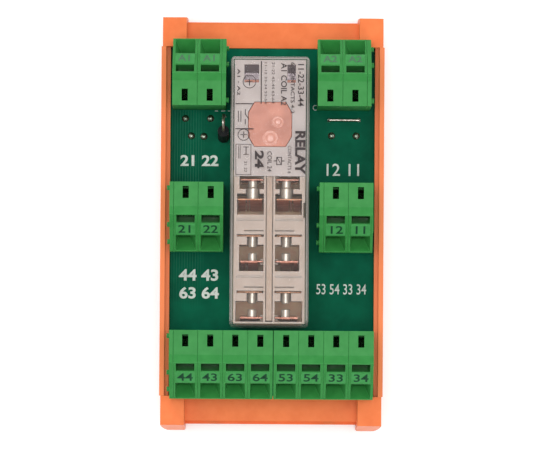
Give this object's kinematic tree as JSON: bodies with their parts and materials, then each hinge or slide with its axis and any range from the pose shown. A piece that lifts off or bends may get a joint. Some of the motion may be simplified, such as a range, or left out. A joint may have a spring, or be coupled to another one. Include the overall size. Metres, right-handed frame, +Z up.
{
  "type": "relay interface module",
  "caption": "Rail-mounted relay module: clear-covered relay with comb-driven contacts and spring-cage terminals on a circuit board, held in an extruded plastic carrier.",
  "frame": {"origin": "on the surface that the feet stand on, under the middle of the carrier", "axes": "+X across the mounting rail, towards the sprung latches; +Y along the rail, from the eight-pole terminal row to the coil terminals; +Z up, away from the rail"},
  "size_m": [0.046, 0.0868, 0.0345],
  "materials": {
    "orange_plastic": "satin moulded and extruded plastic",
    "steel": "zinc plated",
    "spring_steel": "bright rolled",
    "board": "solder mask over glass fibre laminate",
    "solder": "bright solder",
    "tinned_wire": "tinned copper",
    "black_body": "moulded",
    "green_plastic": "moulded",
    "tin_plate": "tin plated",
    "clear_cover": "clear moulded",
    "tan_plastic": "moulded",
    "white_plastic": "moulded",
    "bobbin_plastic": "moulded",
    "winding": "enamelled wire",
    "soft_iron": "nickel plated",
    "comb_plastic": "moulded",
    "copper_alloy": "bright",
    "contact_silver": "silver"
  },
  "bodies": {
    "module": {"carrier_profile": "orange_plastic", "end_cap_rear": "orange_plastic", "end_cap_front": "orange_plastic", "latch_spring_rear": "spring_steel", "latch_spring_front": "spring_steel", "cap_screws": "steel", "circuit_board": "board", "solder_joints": "solder", "wire_link": "tinned_wire", "diode_body": "black_body", "diode_leads": "tinned_wire", "coil_terminal_left": "green_plastic", "coil_terminal_right": "green_plastic", "contact_terminal_left": "green_plastic", "contact_terminal_right": "green_plastic", "front_terminal_left": "green_plastic", "front_terminal_right": "green_plastic", "terminal_end_plates": "green_plastic", "current_bars": "tin_plate", "relay_cover": "clear_cover", "relay_base": "tan_plastic", "contact_housing": "white_plastic", "coil_lid": "white_plastic", "coil_bobbin": "bobbin_plastic", "coil_winding": "winding", "coil_core": "soft_iron", "yoke": "soft_iron", "coil_pins": "tin_plate", "fixed_contacts": "copper_alloy", "fixed_rivets": "contact_silver", "spring_roots": "copper_alloy"},
    "rear_latch": {"rail_latch_rear": "orange_plastic"},
    "front_latch": {"rail_latch_front": "orange_plastic"},
    "armature": {"armature": "soft_iron"},
    "comb": {"comb": "comb_plastic"},
    "break_spring_left": {"break_spring_left": "copper_alloy"},
    "break_spring_right": {"break_spring_right": "copper_alloy"},
    "make_spring_2_left": {"make_spring_2_left": "copper_alloy"},
    "make_spring_2_right": {"make_spring_2_right": "copper_alloy"},
    "make_spring_3_left": {"make_spring_3_left": "copper_alloy"},
    "make_spring_3_right": {"make_spring_3_right": "copper_alloy"},
    "clamp_1": {"clamp_spring_1": "spring_steel"},
    "clamp_2": {"clamp_spring_2": "spring_steel"},
    "clamp_3": {"clamp_spring_3": "spring_steel"},
    "clamp_4": {"clamp_spring_4": "spring_steel"},
    "clamp_5": {"clamp_spring_5": "spring_steel"},
    "clamp_6": {"clamp_spring_6": "spring_steel"},
    "clamp_7": {"clamp_spring_7": "spring_steel"},
    "clamp_8": {"clamp_spring_8": "spring_steel"},
    "clamp_9": {"clamp_spring_9": "spring_steel"},
    "clamp_10": {"clamp_spring_10": "spring_steel"},
    "clamp_11": {"clamp_spring_11": "spring_steel"},
    "clamp_12": {"clamp_spring_12": "spring_steel"},
    "clamp_13": {"clamp_spring_13": "spring_steel"},
    "clamp_14": {"clamp_spring_14": "spring_steel"},
    "clamp_15": {"clamp_spring_15": "spring_steel"},
    "clamp_16": {"clamp_spring_16": "spring_steel"}
  },
  "joints": [
    {"name": "rear_latch_slide", "type": "slide", "parent": "module", "child": "rear_latch", "axis": [1, 0, 0], "range_m": [0, 0.002], "stiffness_N_per_m": 30, "springref_m": -0.0005, "deforming": ["latch_spring_rear"]},
    {"name": "front_latch_slide", "type": "slide", "parent": "module", "child": "front_latch", "axis": [1, 0, 0], "range_m": [0, 0.002], "stiffness_N_per_m": 30, "springref_m": -0.0005, "deforming": ["latch_spring_front"]},
    {"name": "armature_tilt", "type": "hinge", "parent": "module", "child": "armature", "pos_m": [-0.00055, 0.0119, 0.02105], "axis": [-1, 0, 0], "range_deg": [0, 7.1], "stiffness_Nm_per_rad": 0.004, "springref_deg": -5.73},
    {"name": "comb_slide", "type": "slide", "parent": "module", "child": "comb", "axis": [0, 1, 0], "range_m": [0, 0.00125]},
    {"name": "break_spring_left_bend", "type": "hinge", "parent": "module", "child": "break_spring_left", "pos_m": [-0.00415, 0.0082, 0.0194], "axis": [-1, 0, 0], "range_deg": [0, 7.7]},
    {"name": "break_spring_right_bend", "type": "hinge", "parent": "module", "child": "break_spring_right", "pos_m": [0.00305, 0.0082, 0.0194], "axis": [-1, 0, 0], "range_deg": [0, 7.7]},
    {"name": "make_spring_2_left_bend", "type": "hinge", "parent": "module", "child": "make_spring_2_left", "pos_m": [-0.00415, -0.00848, 0.0194], "axis": [-1, 0, 0], "range_deg": [0, 7.7]},
    {"name": "make_spring_2_right_bend", "type": "hinge", "parent": "module", "child": "make_spring_2_right", "pos_m": [0.00305, -0.00848, 0.0194], "axis": [-1, 0, 0], "range_deg": [0, 7.7]},
    {"name": "make_spring_3_left_bend", "type": "hinge", "parent": "module", "child": "make_spring_3_left", "pos_m": [-0.00415, -0.01994, 0.0194], "axis": [-1, 0, 0], "range_deg": [0, 7.7]},
    {"name": "make_spring_3_right_bend", "type": "hinge", "parent": "module", "child": "make_spring_3_right", "pos_m": [0.00305, -0.01994, 0.0194], "axis": [-1, 0, 0], "range_deg": [0, 7.7]},
    {"name": "clamp_1_open", "type": "hinge", "parent": "module", "child": "clamp_1", "pos_m": [-0.01794, 0.02875, 0.02758], "axis": [1, 0, 0], "range_deg": [0, 24], "stiffness_Nm_per_rad": 0.0002, "springref_deg": -11.46},
    {"name": "clamp_2_open", "type": "hinge", "parent": "module", "child": "clamp_2", "pos_m": [-0.01286, 0.02875, 0.02758], "axis": [1, 0, 0], "range_deg": [0, 24], "stiffness_Nm_per_rad": 0.0002, "springref_deg": -11.46},
    {"name": "clamp_3_open", "type": "hinge", "parent": "module", "child": "clamp_3", "pos_m": [0.01166, 0.02875, 0.02758], "axis": [1, 0, 0], "range_deg": [0, 24], "stiffness_Nm_per_rad": 0.0002, "springref_deg": -11.46},
    {"name": "clamp_4_open", "type": "hinge", "parent": "module", "child": "clamp_4", "pos_m": [0.01674, 0.02875, 0.02758], "axis": [1, 0, 0], "range_deg": [0, 24], "stiffness_Nm_per_rad": 0.0002, "springref_deg": -11.46},
    {"name": "clamp_5_open", "type": "hinge", "parent": "module", "child": "clamp_5", "pos_m": [-0.01759, 0.00196, 0.02758], "axis": [-1, 0, 0], "range_deg": [0, 24], "stiffness_Nm_per_rad": 0.0002, "springref_deg": -11.46},
    {"name": "clamp_6_open", "type": "hinge", "parent": "module", "child": "clamp_6", "pos_m": [-0.01251, 0.00196, 0.02758], "axis": [-1, 0, 0], "range_deg": [0, 24], "stiffness_Nm_per_rad": 0.0002, "springref_deg": -11.46},
    {"name": "clamp_7_open", "type": "hinge", "parent": "module", "child": "clamp_7", "pos_m": [0.01291, 0.00196, 0.02758], "axis": [-1, 0, 0], "range_deg": [0, 24], "stiffness_Nm_per_rad": 0.0002, "springref_deg": -11.46},
    {"name": "clamp_8_open", "type": "hinge", "parent": "module", "child": "clamp_8", "pos_m": [0.01799, 0.00196, 0.02758], "axis": [-1, 0, 0], "range_deg": [0, 24], "stiffness_Nm_per_rad": 0.0002, "springref_deg": -11.46},
    {"name": "clamp_9_open", "type": "hinge", "parent": "module", "child": "clamp_9", "pos_m": [-0.01747, -0.02815, 0.02758], "axis": [-1, 0, 0], "range_deg": [0, 24], "stiffness_Nm_per_rad": 0.0002, "springref_deg": -11.46},
    {"name": "clamp_10_open", "type": "hinge", "parent": "module", "child": "clamp_10", "pos_m": [-0.01239, -0.02815, 0.02758], "axis": [-1, 0, 0], "range_deg": [0, 24], "stiffness_Nm_per_rad": 0.0002, "springref_deg": -11.46},
    {"name": "clamp_11_open", "type": "hinge", "parent": "module", "child": "clamp_11", "pos_m": [-0.00731, -0.02815, 0.02758], "axis": [-1, 0, 0], "range_deg": [0, 24], "stiffness_Nm_per_rad": 0.0002, "springref_deg": -11.46},
    {"name": "clamp_12_open", "type": "hinge", "parent": "module", "child": "clamp_12", "pos_m": [-0.00223, -0.02815, 0.02758], "axis": [-1, 0, 0], "range_deg": [0, 24], "stiffness_Nm_per_rad": 0.0002, "springref_deg": -11.46},
    {"name": "clamp_13_open", "type": "hinge", "parent": "module", "child": "clamp_13", "pos_m": [0.00301, -0.02815, 0.02758], "axis": [-1, 0, 0], "range_deg": [0, 24], "stiffness_Nm_per_rad": 0.0002, "springref_deg": -11.46},
    {"name": "clamp_14_open", "type": "hinge", "parent": "module", "child": "clamp_14", "pos_m": [0.00809, -0.02815, 0.02758], "axis": [-1, 0, 0], "range_deg": [0, 24], "stiffness_Nm_per_rad": 0.0002, "springref_deg": -11.46},
    {"name": "clamp_15_open", "type": "hinge", "parent": "module", "child": "clamp_15", "pos_m": [0.01317, -0.02815, 0.02758], "axis": [-1, 0, 0], "range_deg": [0, 24], "stiffness_Nm_per_rad": 0.0002, "springref_deg": -11.46},
    {"name": "clamp_16_open", "type": "hinge", "parent": "module", "child": "clamp_16", "pos_m": [0.01825, -0.02815, 0.02758], "axis": [-1, 0, 0], "range_deg": [0, 24], "stiffness_Nm_per_rad": 0.0002, "springref_deg": -11.46}
  ],
  "couplings": [
    {"joint": "comb_slide", "follows": "armature_tilt", "m_per_rad": 0.0096},
    {"joint": "break_spring_left_bend", "follows": "armature_tilt", "ratio": 1.0666},
    {"joint": "break_spring_right_bend", "follows": "armature_tilt", "ratio": 1.0666},
    {"joint": "make_spring_2_left_bend", "follows": "armature_tilt", "ratio": 1.0666},
    {"joint": "make_spring_2_right_bend", "follows": "armature_tilt", "ratio": 1.0666},
    {"joint": "make_spring_3_left_bend", "follows": "armature_tilt", "ratio": 1.0666},
    {"joint": "make_spring_3_right_bend", "follows": "armature_tilt", "ratio": 1.0666}
  ]
}
